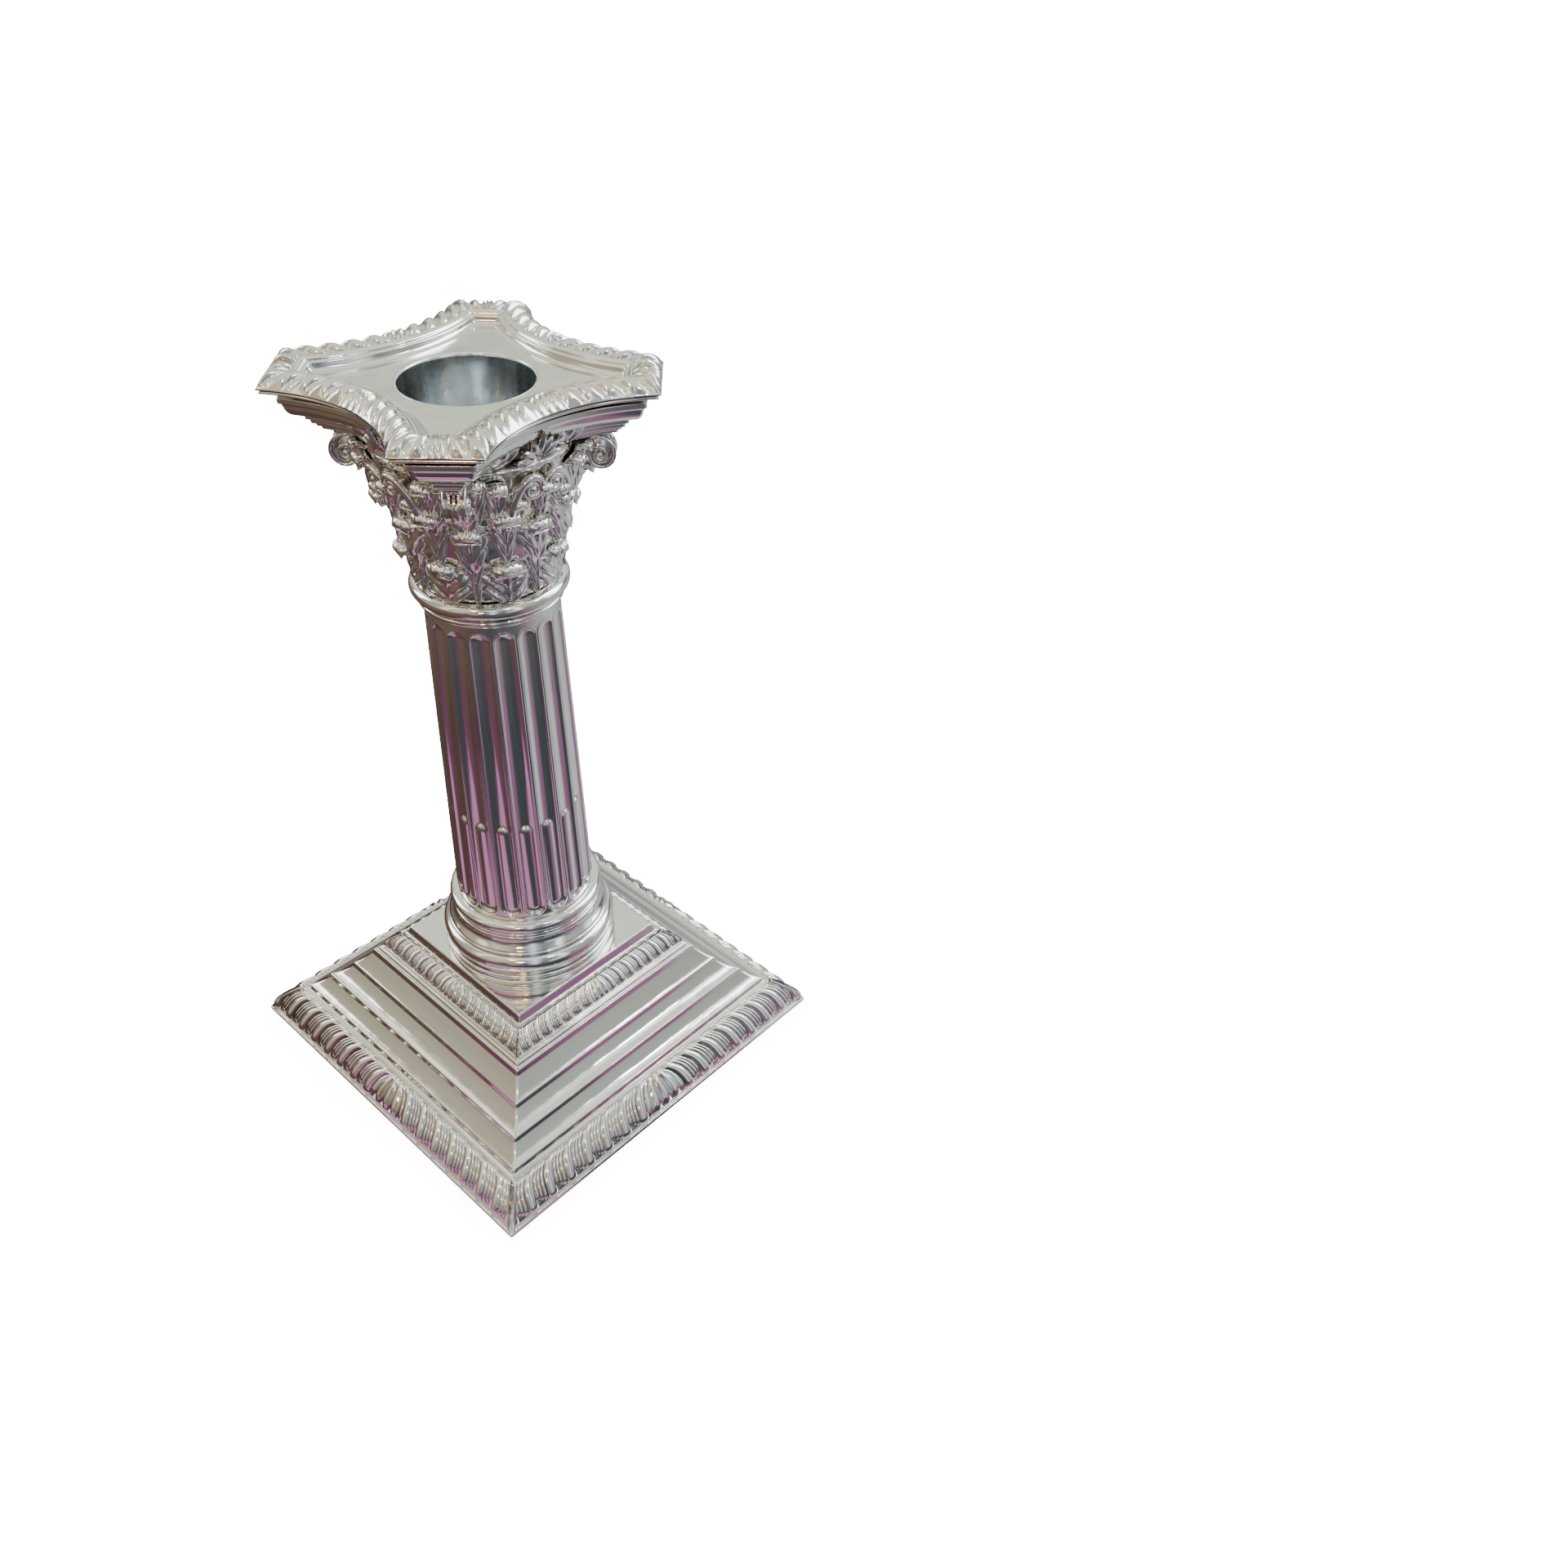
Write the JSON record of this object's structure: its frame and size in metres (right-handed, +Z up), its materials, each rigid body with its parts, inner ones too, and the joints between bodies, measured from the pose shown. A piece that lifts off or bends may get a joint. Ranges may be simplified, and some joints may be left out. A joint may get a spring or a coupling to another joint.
{
  "type": "candlestick",
  "caption": "Small silver Corinthian-column candlestick on a stepped square foot, with a lift-out square drip-pan nozzle that takes a standard dinner candle.",
  "frame": {"origin": "centre of the underside of the green baize pad, on the table", "axes": "+Z up along the column; -Y, +X, +Y and -X are square to the four sides of the foot; the picture looks at the corner between -X and -Y"},
  "size_m": [0.086, 0.086, 0.1516],
  "materials": {
    "polished_silver": "polished silver with fine scratches",
    "satin_silver": "dull burnished silver inside the candle socket",
    "steel": "plain mild steel",
    "pitch_filling": "black pitch",
    "base_board_wood": "plain sawn board",
    "green_baize": "felted baize"
  },
  "bodies": {
    "stand": {"foot_shell": "polished_silver", "foot_border_front": "polished_silver", "foot_border_right": "polished_silver", "foot_border_back": "polished_silver", "foot_border_left": "polished_silver", "plinth_block": "polished_silver", "plinth_border_front": "polished_silver", "plinth_border_right": "polished_silver", "plinth_border_back": "polished_silver", "plinth_border_left": "polished_silver", "column_base": "polished_silver", "column_shaft": "polished_silver", "neck_ring_thin": "polished_silver", "neck_ring_wide": "polished_silver", "capital_bell": "polished_silver", "leaves_lower": "polished_silver", "leaves_upper": "polished_silver", "volute_front_right": "polished_silver", "volute_back_right": "polished_silver", "volute_back_left": "polished_silver", "volute_front_left": "polished_silver", "fleuron_front": "polished_silver", "fleuron_right": "polished_silver", "fleuron_back": "polished_silver", "fleuron_left": "polished_silver", "abacus": "polished_silver", "capital_socket": "polished_silver", "centre_rod": "steel", "rod_washer_low": "steel", "rod_nut_low": "steel", "top_plate": "steel", "rod_nut_top": "steel", "column_loading": "pitch_filling", "foot_loading": "pitch_filling", "base_plate": "base_board_wood", "baize_pad": "green_baize"},
    "nozzle": {"nozzle_tray": "polished_silver", "nozzle_border": "polished_silver", "nozzle_socket": "satin_silver", "nozzle_socket_floor": "satin_silver"}
  },
  "joints": [
    {"name": "nozzle_lift", "type": "slide", "parent": "stand", "child": "nozzle", "axis": [0, 0, 1], "range_m": [0, 0.04]}
  ]
}
